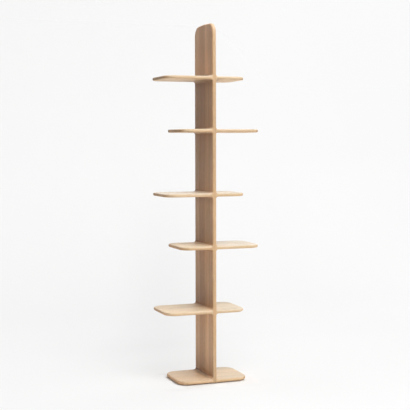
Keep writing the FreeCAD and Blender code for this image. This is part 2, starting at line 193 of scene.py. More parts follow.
# ------------------------------------------------------------------ wood
def oak(name, seed, grain, seams, tone=(1.0, 1.0, 1.0), staves=None, figure=1.0,
        pale=(1.0, 1.0, 1.0), underside_bounce=(1.0, 1.0, 1.0), rim=(1.0, 1.0, 1.0), grime_and_shade=0.0,
        worn=0.0, swing=0.0, rough=0.48):
    """Oiled oak, grain along object axis `grain` ("X" or "Z"), staves glued edge to edge across Y.

    seams are the glue lines' Y positions in metres. tone is the board's average colour, staves, if given,
    is one (r, g, b) factor per stave, and figure is how strongly the board is streaked. pale is a painted
    sheen on faces that look up and below painted bounce light on faces that look down, rim is painted
    highlight and shade on the upper arris between top and edge, grime is how dark the joint is, how far the
    cove above it is darkened by soil and painted shade, and how much the front of the cove is painted paler,
    worn is how much painted shade darkens and browns the edges next to the spine, and swing is how far the
    painted light and shade on the corner above the board goes from pale at the front to brown at the back.
    """
    rnd = random.Random(seed)
    m, k = fresh(name)
    out = k.n.new("ShaderNodeOutputMaterial")
    bsdf = k.n.new("ShaderNodeBsdfPrincipled")
    tc = k.n.new("ShaderNodeTexCoord")
    x, y, z = k.xyz(tc.outputs["Object"])
    nx, ny, nz = k.xyz(tc.outputs["Normal"])
    u, w = (x, z) if grain == "X" else (z, x)
    nu, nw = (nx, nz) if grain == "X" else (nz, nx)
    v = y
    shift = [rnd.uniform(-9.0, 9.0) for _ in range(6)]
    us, vs, ws = k.add(u, shift[0]), k.add(v, shift[1]), k.add(w, shift[2])

    # staves: each has its own place in the log and its own tone
    n = len(seams) + 1
    if staves is None:
        staves = []
        for i in range(n):
            t, hue = rnd.uniform(0.94, 1.06), rnd.uniform(-0.02, 0.02)
            staves.append((t * (1 + hue), t, t * (1 - hue)))
    pith_v, pith_w, cut = [], [], []
    edges = [-0.1435] + sorted(seams) + [0.1435]
    for i in range(n):
        mid = (edges[i] + edges[i + 1]) / 2
        pith_v.append(mid + rnd.uniform(-0.035, 0.035))
        pith_w.append(rnd.choice((-1, 1)) * rnd.uniform(0.035, 0.12))
        cut.append(rnd.uniform(0.0, 40.0))
    place = (pith_v[0], pith_w[0], cut[0])
    colour = (*staves[0], 1.0)
    seam = 1.0
    for i, s in enumerate(sorted(seams)):
        step = k.math("GREATER_THAN", v, s)
        place = k.pick(step, place, (pith_v[i + 1], pith_w[i + 1], cut[i + 1]))
        colour = k.mix(step, colour, (*staves[i + 1], 1.0))
        gap = k.math("ABSOLUTE", k.sub(v, s))
        seam = gap if i == 0 else k.math("MINIMUM", seam, gap)
    pv, pw, cu = k.xyz(place)

    # growth rings round each stave's pith, with the log's taper and slow wander along the grain
    wander = k.noise(k.join(k.mul(us, 1.6), k.mad(vs, 3.0, cu), k.mul(ws, 3.0)), 1.0, 2.0, 0.5)
    dv, dw = k.sub(v, pv), k.sub(w, pw)
    r = k.math("SQRT", k.add(k.mul(dv, dv), k.mul(dw, dw)))
    r = k.mad(u, rnd.choice((-1, 1)) * rnd.uniform(0.012, 0.024), k.mad(wander, 0.034, r))
    ripple = k.noise(k.join(k.mul(us, 9.0), k.mul(vs, 40.0), k.mul(ws, 40.0)), 1.0, 2.0, 0.55)
    r = k.mad(ripple, 0.0022, r)
    pace = k.noise(0.0, 1.0, 2.0, 0.6, "1D", k.mad(r, 120.0, cu))
    turns = k.mad(pace, 2.4, k.mul(r, 1.0 / 0.0031))
    phase = k.math("FRACT", turns)
    late = k.remap(phase, 0.25, 0.92)                      # rises slowly through the year's growth
    late = k.math("MULTIPLY", late, k.remap(phase, 0.95, 1.0, 1.0, 0.0))
    early = k.math("MULTIPLY", k.remap(phase, 0.0, 0.06), k.remap(phase, 0.22, 0.42, 1.0, 0.0))
    year = k.white(k.mad(cu, 7.0, k.math("FLOOR", turns)))

    # open pores: hair-thin dashes along the grain, crowded into the early wood
    pore = k.noise(k.join(k.mul(us, 85.0), k.mul(vs, 2100.0), k.mul(ws, 2100.0)), 1.0, 1.0, 0.5)
    pores = k.math("MULTIPLY", k.remap(pore, 0.56, 0.66), k.mad(early, 0.8, 0.2))
    # medullary rays: small pale flecks, longest across the grain
    ray = k.noise(k.join(k.mul(us, 260.0), k.mul(vs, 75.0), k.mul(ws, 75.0)), 1.0, 2.0, 0.6, distortion=0.6)
    where = k.noise(k.join(k.mul(us, 5.0), k.mul(vs, 22.0), k.mul(ws, 22.0)), 1.0, 1.0, 0.5)
    rays = k.math("MULTIPLY", k.remap(ray, 0.60, 0.68), k.remap(where, 0.48, 0.62))
    # streaks and slow changes of tone
    streak = k.noise(k.join(k.mul(us, 1.3), k.mul(vs, 62.0), k.mul(ws, 62.0)), 1.0, 3.0, 0.6)
    fine = k.noise(k.join(k.mul(us, 14.0), k.mul(vs, 520.0), k.mul(ws, 520.0)), 1.0, 2.0, 0.6)
    mottle = k.noise(k.join(k.mul(us, 26.0), k.mul(vs, 120.0), k.mul(ws, 120.0)), 1.0, 2.0, 0.6)
    cloud = k.noise(k.join(k.mul(us, 2.8), k.mul(vs, 13.0), k.mul(ws, 13.0)), 1.0, 2.0, 0.5)

    # sawn across the grain: darker, with dots for pores
    across = k.remap(k.math("ABSOLUTE", nu), 0.45, 0.95)
    dots = k.noise(k.join(k.mul(us, 300.0), k.mul(vs, 1500.0), k.mul(ws, 1500.0)), 1.0, 1.0, 0.5)
    dots = k.remap(dots, 0.58, 0.68)
    # edges: hands and cloths have polished and paled the rounded arrises, unevenly
    flat = k.math("MAXIMUM", k.math("ABSOLUTE", nx), k.math("MAXIMUM", k.math("ABSOLUTE", ny), k.math("ABSOLUTE", nz)))
    patch = k.noise(k.join(k.mul(us, 24.0), k.mul(vs, 30.0), k.mul(ws, 30.0)), 1.0, 3.0, 0.6)
    wear = k.math("MULTIPLY", k.remap(flat, 0.97, 0.76), k.remap(patch, 0.42, 0.62))

    # brightness is a product of factors that each average about one
    f = k.mad(late, -0.13, 1.045)
    f = k.math("MULTIPLY", f, k.mad(year, 0.05, 0.975))
    f = k.math("MULTIPLY", f, k.mad(pores, -0.30, 1.02))
    f = k.math("MULTIPLY", f, k.mad(streak, 0.44 * figure, 1.0 - 0.22 * figure))
    f = k.math("MULTIPLY", f, k.mad(fine, 0.18, 0.91))
    f = k.math("MULTIPLY", f, k.mad(mottle, 0.20 * figure, 1.0 - 0.10 * figure))
    f = k.math("MULTIPLY", f, k.mad(cloud, 0.30, 0.85))
    f = k.math("MULTIPLY", f, k.mad(rays, 0.09, 1.0))
    f = k.math("MULTIPLY", f, k.mad(across, k.mad(dots, -0.16, -0.07), 1.0))
    f = k.math("MULTIPLY", f, k.mad(wear, 0.07, 1.0))
    f = k.math("MULTIPLY", f, k.remap(seam, 0.0001, 0.0007, 0.80, 1.0))
    col = k.vec("MULTIPLY", colour, tone)
    if grain == "X":
        # faces that look up carry a painted sheen, paler and less red, and faces that look down carry painted bounce
        # light;
        # near the spine the tops are painted browner, the joint is dark, and the cove above it holds soil and painted
        # shade
        sky = k.math("MULTIPLY", k.remap(nz, 0.14, 0.97), k.mad(patch, 0.12, 0.94))
        col = k.vec("MULTIPLY", col, k.pick(sky, (1.0, 1.0, 1.0), pale))
        under = k.math("MULTIPLY", k.remap(nz, -0.86, -0.99), k.mad(patch, 0.12, 0.94))
        col = k.vec("MULTIPLY", col, k.pick(under, (1.0, 1.0, 1.0), underside_bounce))
        # painted shade: the lower rounded edge, turned down, is darker and browner
        lower_arris_shade = k.math("MULTIPLY", k.remap(nz, -0.12, -0.50), k.remap(nz, -0.99, -0.86))
        col = k.vec("MULTIPLY", col, k.pick(lower_arris_shade, (1.0, 1.0, 1.0), (0.93, 0.85, 0.77)))
        # painted highlight and shade on the upper rounded edge, each board its own (rim)
        arris = k.math("MULTIPLY", k.remap(nz, 0.15, 0.50), k.remap(nz, 0.99, 0.88))
        col = k.vec("MULTIPLY", col, k.pick(arris, (1.0, 1.0, 1.0), rim))
        col = k.vec("MULTIPLY", col, k.pick(across, (1.0, 1.0, 1.0), (0.96, 0.86, 0.84)))
        # next to the spine: the sides of the joint, leaving out the rounded front and back edges
        ax = k.math("ABSOLUTE", x)
        side = k.remap(k.math("ABSOLUTE", ny), 0.32, 0.06)
        over = k.math("MULTIPLY", k.remap(nz, -0.05, 0.10), side)
        nook, skirt = k.remap(ax, 0.0300, 0.0180), k.remap(ax, 0.0900, 0.0300)
        # painted bounce light off the spine: the tops beside it browner and less blue
        warm = k.math("MULTIPLY", k.remap(ax, 0.0850, 0.0180), k.math("MULTIPLY", k.remap(nz, 0.30, 0.80), side))
        col = k.vec("MULTIPLY", col, k.pick(warm, (1.0, 1.0, 1.0), (1.02, 0.955, 0.885)))
        # painted shade in the cove: darker and browner
        cove = k.math("MULTIPLY", k.remap(ax, 0.0280, 0.0150), over)
        col = k.vec("MULTIPLY", col, k.pick(cove, (1.0, 1.0, 1.0), (0.98, 0.89, 0.80)))
        # painted light and shade: the corner above the board lighter at the front, darker and browner at the back
        fore = k.math("MULTIPLY", k.remap(y, 0.040, -0.100, -swing, swing), over)
        corner_light_and_shade = k.vec("ADD", k.pick(skirt, (0.0, 0.0, 0.0), (0.06, 0.10, 0.13)), k.pick(nook, (0.0, 0.0, 0.0), (0.18, 0.20, 0.22)))
        corner_light_and_shade = k.vec("MULTIPLY", corner_light_and_shade, k.join(fore, fore, fore))
        col = k.vec("MULTIPLY", col, k.vec("ADD", corner_light_and_shade, (1.0, 1.0, 1.0)))
        # painted highlight at the front of the cove: paler and less red
        cove_front_highlight = k.math("MULTIPLY", k.math("MULTIPLY", k.remap(y, -0.090, -0.125), nook), over)
        col = k.vec("MULTIPLY", col, k.pick(cove_front_highlight, (1.0, 1.0, 1.0), (1.0 + 0.07 * grime_and_shade, 1.0 + 0.30 * grime_and_shade, 1.0 + 0.64 * grime_and_shade)))
        # painted shade: the front and back edges darker and browner close to the spine
        close = k.remap(ax, 0.0600, 0.0200)
        edge = k.math("MULTIPLY", close, k.math("MULTIPLY", k.remap(nz, 0.45, 0.10), k.remap(nz, -0.60, -0.25)))
        col = k.vec("MULTIPLY", col, k.pick(edge, (1.0, 1.0, 1.0), (1.0 - 0.06 * worn, 1.0 - 0.11 * worn, 1.0 - 0.15 * worn)))
        # painted shade under the board beside the spine, strongest at the back
        back = k.math("MULTIPLY", k.math("MULTIPLY", k.remap(ax, 0.0750, 0.0300), k.remap(ax, 0.0150, 0.0200)),
                      k.math("MULTIPLY", k.remap(nz, -0.25, -0.60), side))
        col = k.vec("MULTIPLY", col, k.pick(k.math("MULTIPLY", back, k.remap(y, 0.060, -0.040, 0.45, 1.0)), (1.0, 1.0, 1.0), (0.72, 0.66, 0.64)))
        damp = k.noise(k.join(0.0, k.mul(vs, 34.0), k.mul(ws, 60.0)), 1.0, 3.0, 0.65)
        joint = k.math("MULTIPLY", k.remap(ax, 0.0134, 0.0118), k.math("MULTIPLY", over, k.remap(damp, 0.40, 0.60)))
        joint = k.math("MULTIPLY", joint, k.remap(y, -0.120, -0.050))
        loss = -0.12 - 0.55 * grime_and_shade
        col = k.vec("MULTIPLY", col, k.pick(joint, (1.0, 1.0, 1.0), (1.0 + loss, 1.0 + loss, 1.0 + loss)))
        # soil and painted shade in the cove beside the spine, darkest at the back
        cove_soil_and_shade = k.math("MULTIPLY", k.remap(ax, 0.0400, 0.0160), k.math("MULTIPLY", k.remap(nz, -0.3, 0.1), side))
        cove_soil_and_shade = k.math("MULTIPLY", cove_soil_and_shade, k.mad(damp, 0.5 * grime_and_shade, 0.75 * grime_and_shade))
        cove_soil_and_shade = k.math("MULTIPLY", cove_soil_and_shade, k.remap(y, -0.125, -0.030, 0.10, 1.0))
        col = k.vec("MULTIPLY", col, k.pick(cove_soil_and_shade, (1.0, 1.0, 1.0), (0.10, 0.11, 0.13)))
    else:
        # the cut runs in and out of the same years' growth, so the flat sides go light and dark along the board;
        # the front and back edges are a little less red than the flat sides, and the head, above the highest shelf,
        # carries painted light
        wide = k.remap(k.math("ABSOLUTE", nx), 0.32, 0.85)
        tide = k.math("COSINE", k.mul(k.sub(z, 0.20), 2.0 * math.pi / 0.85))
        f = k.math("MULTIPLY", f, k.mad(k.mul(tide, wide), 0.06, 1.0))
        # painted shade: the flat sides darker just under the highest shelf
        under = k.mul(k.math("MULTIPLY", k.remap(z, 1.560, 1.650), k.remap(z, 1.675, 1.690, 1.0, 0.0)), wide)
        f = k.math("MULTIPLY", f, k.mad(under, -0.12, 1.0))
        col = k.vec("MULTIPLY", col, k.pick(wide, (0.983, 1.075, 1.083), (1.0, 1.0, 1.0)))
        # painted warm light on the head's flat sides: lighter and redder
        head = k.mul(k.remap(z, 1.62, 1.80), wide)
        col = k.vec("MULTIPLY", col, k.pick(head, (1.0, 1.0, 1.0), (1.10, 1.03, 0.98)))
        # each bay has its own tone, and its front and back staves their own tones, partly the wood's and partly
        # painted light and shade; painted shade browns its foot and darkens it close under a shelf
        for low, high, bay, fore, aft, reach, foot, roof in BAYS:
            inside = k.mul(k.math("GREATER_THAN", z, low), k.mul(k.math("LESS_THAN", z, high), wide))
            col = k.vec("MULTIPLY", col, k.pick(inside, (1.0, 1.0, 1.0), bay))
            col = k.vec("MULTIPLY", col, k.pick(k.mul(k.remap(y, -0.088, -0.098), inside), (1.0, 1.0, 1.0), fore))
            col = k.vec("MULTIPLY", col, k.pick(k.mul(k.remap(y, 0.058, 0.070), inside), (1.0, 1.0, 1.0), aft))
            col = k.vec("MULTIPLY", col, k.pick(k.mul(k.remap(z, low + reach, low + 0.010), inside), (1.0, 1.0, 1.0), foot))
            col = k.vec("MULTIPLY", col, k.pick(k.mul(k.remap(z, high - 0.065, high - 0.005), inside), (1.0, 1.0, 1.0), roof))
        vein = k.mul(k.remap(k.math("ABSOLUTE", k.add(y, 0.091)), 0.011, 0.004), k.mul(k.remap(z, 0.78, 0.70), wide))
        col = k.vec("MULTIPLY", col, k.pick(vein, (1.0, 1.0, 1.0), (0.88, 0.87, 0.87)))
        # painted highlight: faces that look up, on the top, paler and less red
        crown = k.remap(nz, 0.05, 0.85)
        col = k.vec("MULTIPLY", col, k.pick(crown, (1.0, 1.0, 1.0), (1.08, 1.18, 1.32)))
    # some streaks lean to red, some to green-grey
    lean = k.noise(k.join(k.mul(us, 2.2), k.mad(vs, 34.0, 3.7), k.mul(ws, 34.0)), 1.0, 2.0, 0.5)
    lean = k.mul(k.sub(lean, 0.5), figure)
    # darker wood is also warmer: raise each channel to its own power of the factor
    fr, fg, fb = k.math("POWER", f, 0.78), f, k.math("POWER", f, 1.32)
    fr, fb = k.mul(fr, k.mad(lean, 0.08, 1.0)), k.mul(fb, k.mad(lean, -0.11, 1.0))
    col = k.vec("MULTIPLY", col, k.join(fr, fg, fb))
    k.put(bsdf.inputs["Base Color"], col)

    gloss = k.mad(late, -0.05, rough + 0.02)
    gloss = k.mad(pores, 0.22, gloss)
    gloss = k.mad(patch, 0.10, k.sub(gloss, 0.05))
    gloss = k.mad(wear, -0.07, gloss)
    gloss = k.mad(across, 0.12, gloss)
    k.put(bsdf.inputs["Roughness"], gloss)
    bsdf.inputs["IOR"].default_value = 1.45

    h = k.mad(pores, -0.9, k.mad(late, 0.35, k.mul(fine, 0.5)))
    h = k.mad(rays, 0.15, h)
    h = k.mad(k.remap(seam, 0.0, 0.0006), 0.6, h)
    bump = k.n.new("ShaderNodeBump")
    bump.inputs["Strength"].default_value = 0.35
    bump.inputs["Distance"].default_value = 0.00012
    k.put(bump.inputs["Height"], h)
    k.l.new(bump.outputs[0], bsdf.inputs["Normal"])
    k.l.new(bsdf.outputs[0], out.inputs[0])
    return m


def beech(name):
    """Bare turned beech for the dowels: pale pink-brown, short dark rays, grain along X."""
    m, k = fresh(name)
    out = k.n.new("ShaderNodeOutputMaterial")
    bsdf = k.n.new("ShaderNodeBsdfPrincipled")
    tc = k.n.new("ShaderNodeTexCoord")
    x, y, z = k.xyz(tc.outputs["Object"])
    nx, ny, nz = k.xyz(tc.outputs["Normal"])
    streak = k.noise(k.join(k.mul(x, 12.0), k.mul(y, 420.0), k.mul(z, 420.0)), 1.0, 3.0, 0.6)
    ray = k.noise(k.join(k.mul(x, 420.0), k.mul(y, 1400.0), k.mul(z, 1400.0)), 1.0, 1.0, 0.5)
    rays = k.remap(ray, 0.60, 0.70)
    cloud = k.noise(tc.outputs["Object"], 9.0, 2.0, 0.5)
    ends = k.remap(k.math("ABSOLUTE", nx), 0.4, 0.9)
    flat = k.math("MAXIMUM", k.math("ABSOLUTE", nx), k.math("MAXIMUM", k.math("ABSOLUTE", ny), k.math("ABSOLUTE", nz)))
    rim = k.math("MULTIPLY", k.remap(k.math("ABSOLUTE", nx), 0.15, 0.5), k.remap(k.math("ABSOLUTE", nx), 0.95, 0.75))
    f = k.mad(streak, 0.22, 0.89)
    f = k.math("MULTIPLY", f, k.mad(rays, -0.22, 1.02))
    f = k.math("MULTIPLY", f, k.mad(cloud, 0.16, 0.92))
    f = k.math("MULTIPLY", f, k.mad(ends, -0.14, 1.0))
    f = k.math("MULTIPLY", f, k.mad(rim, 0.10, 1.0))
    k.put(bsdf.inputs["Base Color"], k.vec("MULTIPLY", k.join(f, f, k.math("POWER", f, 1.15)), (0.60, 0.39, 0.235)))
    k.put(bsdf.inputs["Roughness"], k.mad(streak, 0.2, k.mad(rays, 0.12, 0.42)))
    bump = k.n.new("ShaderNodeBump")
    bump.inputs["Strength"].default_value = 0.4
    bump.inputs["Distance"].default_value = 0.00008
    k.put(bump.inputs["Height"], k.mad(rays, -0.8, k.mul(streak, 0.6)))
    k.l.new(bump.outputs[0], bsdf.inputs["Normal"])
    k.l.new(bsdf.outputs[0], out.inputs[0])
    return m


def felt(name):
    """Pressed brown wool felt: matted fibres, worn darker and smoother where it meets the floor."""
    m, k = fresh(name)
    out = k.n.new("ShaderNodeOutputMaterial")
    bsdf = k.n.new("ShaderNodeBsdfPrincipled")
    tc = k.n.new("ShaderNodeTexCoord")
    p = tc.outputs["Object"]
    x, y, z = k.xyz(p)
    fibre_a = k.noise(k.join(k.mul(x, 900.0), k.mul(y, 240.0), k.mul(z, 700.0)), 1.0, 3.0, 0.65, distortion=1.4)
    fibre_b = k.noise(k.join(k.mul(x, 230.0), k.mul(y, 980.0), k.mul(z, 700.0)), 1.0, 3.0, 0.65, distortion=1.4)
    mat = k.math("MAXIMUM", fibre_a, fibre_b)
    tuft = k.noise(p, 260.0, 3.0, 0.6)
    sole = k.remap(z, 0.0006, 0.0, 0.0, 1.0)
    col = k.ramp(mat, [(0.38, (0.032, 0.024, 0.018)), (0.55, (0.085, 0.065, 0.050)), (0.72, (0.17, 0.135, 0.105))])
    f = k.mad(tuft, 0.5, 0.75)
    f = k.math("MULTIPLY", f, k.mad(sole, -0.30, 1.0))
    k.put(bsdf.inputs["Base Color"], k.vec("MULTIPLY", col, k.join(f, f, f)))
    k.put(bsdf.inputs["Roughness"], k.mad(sole, -0.12, k.mad(mat, 0.10, 0.86)))
    bsdf.inputs["Sheen Weight"].default_value = 0.35
    bsdf.inputs["Sheen Roughness"].default_value = 0.5
    bump = k.n.new("ShaderNodeBump")
    bump.inputs["Strength"].default_value = 0.8
    bump.inputs["Distance"].default_value = 0.0003
    k.put(bump.inputs["Height"], k.mad(tuft, 0.6, mat))
    k.l.new(bump.outputs[0], bsdf.inputs["Normal"])
    k.l.new(bsdf.outputs[0], out.inputs[0])
    return m


def brass(name):
    """Turned brass: fine rings from the tool round the Y axis, dull brown in the recesses, bright on the rims."""
    m, k = fresh(name)
    out = k.n.new("ShaderNodeOutputMaterial")
    bsdf = k.n.new("ShaderNodeBsdfPrincipled")
    tc = k.n.new("ShaderNodeTexCoord")
    x, y, z = k.xyz(tc.outputs["Object"])
    dz = k.sub(z, 1.9)
    rad = k.math("SQRT", k.add(k.mul(x, x), k.mul(dz, dz)))
    rings = k.noise(0.0, 1.0, 2.0, 0.6, "1D", k.mad(rad, 9000.0, k.mul(y, 7000.0)))
    tarnish = k.noise(tc.outputs["Object"], 700.0, 3.0, 0.6)
    deep = k.remap(rad, 0.0018, 0.0027, 1.0, 0.0)
    dull = k.math("MAXIMUM", k.mul(deep, 0.7), k.remap(tarnish, 0.45, 0.75, 0.0, 0.6))
    k.put(bsdf.inputs["Base Color"], k.mix(dull, (0.80, 0.58, 0.26, 1), (0.34, 0.22, 0.10, 1)))
    bsdf.inputs["Metallic"].default_value = 1.0
    k.put(bsdf.inputs["Roughness"], k.mad(rings, 0.16, k.mad(dull, 0.22, 0.18)))
    bump = k.n.new("ShaderNodeBump")
    bump.inputs["Strength"].default_value = 0.5
    bump.inputs["Distance"].default_value = 0.00003
    k.put(bump.inputs["Height"], rings)
    k.l.new(bump.outputs[0], bsdf.inputs["Normal"])
    k.l.new(bsdf.outputs[0], out.inputs[0])
    return m


# one material per board: its own staves, its own cut from the log, its own tone
def shade(tone, r=1.0, g=1.0, b=1.0):
    return tone[0] * r, tone[1] * g, tone[2] * b


SPINE_TONE = (0.490, 0.295, 0.164)
SHELF_TONE = (0.568, 0.404, 0.242)
BASE_TONE = (0.650, 0.448, 0.253)
# painted light: the paler sheen on the tops and the bounce light on the undersides
SHELF_TOP_SHEEN, BASE_TOP_SHEEN = (1.108, 1.310, 1.632), (1.031, 1.198, 1.486)
UNDERSIDE_BOUNCE, PLAIN = (1.30, 1.30, 1.29), (1.0, 1.0, 1.0)
BOARDS = {
    "spine_board": (11, "Z", (-0.078, -0.023, 0.064), SPINE_TONE, PLAIN, PLAIN, PLAIN, 0, 0, 0),
    "shelf_1_left": (21, "X", (-0.071, 0.012, 0.083), shade(SHELF_TONE, 0.98, 1.01, 1.07),
                     shade(SHELF_TOP_SHEEN, 0.93, 0.91, 0.87), shade(UNDERSIDE_BOUNCE, 1.04, 1.00, 0.97), PLAIN, 0.12, 1.0, 0.30),
    "shelf_1_right": (22, "X", (-0.064, 0.019, 0.090), shade(SHELF_TONE, 0.93, 0.97, 1.04),
                      shade(SHELF_TOP_SHEEN, 0.93, 0.91, 0.87), shade(UNDERSIDE_BOUNCE, 1.19, 1.20, 1.20), PLAIN, 0.12, 0.7, 0.10),
    "shelf_2_left": (23, "X", (-0.078, -0.006, 0.076), shade(SHELF_TONE, 1.02, 1.00, 1.00),
                     shade(SHELF_TOP_SHEEN, 0.90, 0.86, 0.78), UNDERSIDE_BOUNCE, (0.93, 0.93, 0.87), 0.12, 1.4, 0.10),
    "shelf_2_right": (24, "X", (-0.060, 0.009, 0.081), shade(SHELF_TONE, 0.95, 0.955, 0.985),
                      shade(SHELF_TOP_SHEEN, 0.95, 0.92, 0.88), UNDERSIDE_BOUNCE, PLAIN, 0.12, 0.4, 0.10),
    "shelf_3_left": (25, "X", (-0.074, 0.004, 0.071), shade(SHELF_TONE, 1.08, 1.12, 1.19),
                     shade(SHELF_TOP_SHEEN, 0.96, 0.945, 0.945), UNDERSIDE_BOUNCE, PLAIN, 0.12, 1.2, 0.60),
    "shelf_3_right": (26, "X", (-0.067, -0.002, 0.085), SHELF_TONE,
                      shade(SHELF_TOP_SHEEN, 0.91, 0.945, 1.00), UNDERSIDE_BOUNCE, (0.98, 0.96, 0.92), 0.12, 0.4, 0.10),
    "shelf_4_left": (27, "X", (-0.062, 0.015, 0.078), shade(SHELF_TONE, 1.05, 1.007, 0.97),
                     shade(SHELF_TOP_SHEEN, 1.064, 1.055, 1.035), UNDERSIDE_BOUNCE, (1.00, 1.05, 1.08), 0.12, 0.9, 1.00),
    "shelf_4_right": (28, "X", (-0.080, -0.009, 0.069), shade(SHELF_TONE, 1.05, 1.087, 1.12),
                      shade(SHELF_TOP_SHEEN, 0.99, 0.995, 1.035), UNDERSIDE_BOUNCE, (0.94, 0.92, 0.88), 0.12, 0.8, 0.10),
    "shelf_5_left": (29, "X", (-0.069, 0.006, 0.088), shade(SHELF_TONE, 1.02, 1.055, 1.11),
                     shade(SHELF_TOP_SHEEN, 1.057, 0.967, 0.865), UNDERSIDE_BOUNCE, PLAIN, 0.12, 0.0, 1.00),
    "shelf_5_right": (30, "X", (-0.073, 0.010, 0.074), shade(SHELF_TONE, 1.03, 1.095, 1.185),
                      shade(SHELF_TOP_SHEEN, 0.96, 0.925, 0.877), UNDERSIDE_BOUNCE, PLAIN, 0.12, 0.6, 0.25),
    "base_left": (31, "X", (-0.066, 0.003, 0.079), shade(BASE_TONE, 1.02, 1.02, 1.07),
                  shade(BASE_TOP_SHEEN, 0.95, 0.88, 0.80), UNDERSIDE_BOUNCE, (0.94, 0.93, 0.90), 0.44, 0.0, 0.50),
    "base_right": (32, "X", (-0.075, -0.004, 0.082), shade(BASE_TONE, 1.02, 1.037, 1.05),
                   shade(BASE_TOP_SHEEN, 0.97, 0.976, 1.01), UNDERSIDE_BOUNCE, (0.96, 0.925, 0.88), 0.44, 0.0, 0.20),
}
# the spine's bays: from one board's middle to the next, the bay's tone and its front and back stave's own tone (partly
# painted light and shade), how far up the painted shade at the foot reaches, the foot's painted shade, and the painted
# shade close under the shelf above (roof)
BAYS = [
    (1.697, 2.100, (1.095, 1.055, 1.010), (0.88, 0.90, 0.92), (1.07, 1.09, 1.09), 0.10, PLAIN, PLAIN),
    (1.407, 1.697, (0.985, 0.985, 1.015), (1.16, 1.14, 1.10), (0.96, 0.95, 0.96), 0.08, (0.92, 0.90, 0.89), (0.78, 0.76, 0.76)),
    (1.0525, 1.407, (1.060, 1.065, 1.120), (0.93, 0.93, 0.92), PLAIN, 0.12, (0.96, 0.89, 0.82), (0.87, 0.86, 0.84)),
    (0.7595, 1.0525, (1.000, 1.025, 1.065), PLAIN, PLAIN, 0.06, (0.92, 0.88, 0.87), (0.71, 0.69, 0.67)),
    (0.402, 0.7595, (1.070, 1.100, 1.140), PLAIN, PLAIN, 0.20, (0.82, 0.73, 0.65), PLAIN),
    (0.024, 0.402, (1.050, 1.040, 1.015), (0.95, 0.94, 0.93), PLAIN, 0.14, (0.80, 0.76, 0.73), PLAIN),
]
SPINE_STAVES = [(1.049, 1.055, 1.060), (1.128, 1.139, 1.113), (0.899, 0.860, 0.837), (0.982, 1.002, 1.025)]
beech_mat, felt_mat, brass_mat = beech("beech_dowel"), felt("felt_brown"), brass("brass_turned")
for n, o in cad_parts.items():
    if n in BOARDS:
        seed, grain, seams, tone, pale, underside_bounce, rim, grime_and_shade, worn, swing = BOARDS[n]
        if grain == "Z":
            mat = oak("oak_" + n, seed, grain, seams, tone, SPINE_STAVES, 2.0)
        else:
            mat = oak("oak_" + n, seed, grain, seams, tone, None, 1.0, pale, underside_bounce, rim, grime_and_shade, worn, swing)
    elif n.startswith("dowels"):
        mat = beech_mat
    elif n.startswith("floor_pad"):
        mat = felt_mat
    else:
        mat = brass_mat
    o.data.materials.clear()
    o.data.materials.append(mat)


# ------------------------------------------------------------------ small parts remade in detail
def solid(name, rings, mat, node):
    """A closed mesh from rings of points; the last ring joins the first, or single points close the ends."""
    bm = bmesh.new()
    loops = [[bm.verts.new(p) for p in ring] for ring in rings]
    pairs = list(zip(loops[:-1], loops[1:]))
    if len(rings[0]) > 1 and len(rings[-1]) > 1:
        pairs.append((loops[-1], loops[0]))
    for a, b in pairs:
        n = max(len(a), len(b))
        for i in range(n):
            j = (i + 1) % n
            if len(a) == 1:
                bm.faces.new((a[0], b[i], b[j]))
            elif len(b) == 1:
                bm.faces.new((a[i], b[0], a[j]))
            else:
                bm.faces.new((a[i], b[i], b[j], a[j]))
    bmesh.ops.recalc_face_normals(bm, faces=bm.faces)
    me = bpy.data.meshes.new(name)
    bm.to_mesh(me)
    bm.free()
    for p in me.polygons:
        p.use_smooth = True
    me.materials.append(mat)
    o = bpy.data.objects.new(name, me)
    bpy.context.scene.collection.objects.link(o)
    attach(o, "root")
    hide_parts(node)
    return o


def felt_disc(node, seed):
    """A felt disc with a soft rounded rim, a little lumpy, pressed flat by the weight above it."""
    lo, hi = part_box(node)
    cx, cy, r, h = (lo.x + hi.x) / 2, (lo.y + hi.y) / 2, (hi.x - lo.x) / 2, hi.z - lo.z
    rnd = random.Random(seed)
    waves = [(rnd.randint(3, 23), rnd.uniform(0, 6.28), rnd.uniform(0.2, 1.0)) for _ in range(9)]
    total = sum(w[2] for w in waves)
    prof = [(0.0, 0.0), (0.35, 0.0), (0.70, 0.0), (0.93, 0.0)]
    for i in range(1, 7):                                   # lower edge, worn rounder
        a = math.pi / 2 * i / 6
        prof.append((0.93 + 0.055 * math.sin(a), 0.26 * (1 - math.cos(a))))
    prof += [(1.0, 0.42), (0.995, 0.60), (0.99, 0.78)]
    for i in range(1, 5):
        a = math.pi / 2 * i / 4
        prof.append((0.99 - 0.03 * (1 - math.cos(a)), 0.78 + 0.22 * math.sin(a)))
    prof += [(0.70, 1.0), (0.35, 1.0), (0.0, 1.0)]
    rings = []
    for s, t in prof:
        if s == 0.0:
            rings.append([(cx, cy, lo.z + t * h)])
            continue
        ring = []
        for i in range(72):
            a = 2 * math.pi * i / 72
            lump = sum(w * math.sin(f * a + p + 4.0 * t) for f, p, w in waves) / total
            rr = r * s * (1 - (0.010 + 0.010 * lump) * (1 if s > 0.9 else 0))
            ring.append((cx + rr * math.cos(a), cy + rr * math.sin(a), lo.z + t * h))
        rings.append(ring)
    return solid(node + "_felt", rings, felt_mat, node)


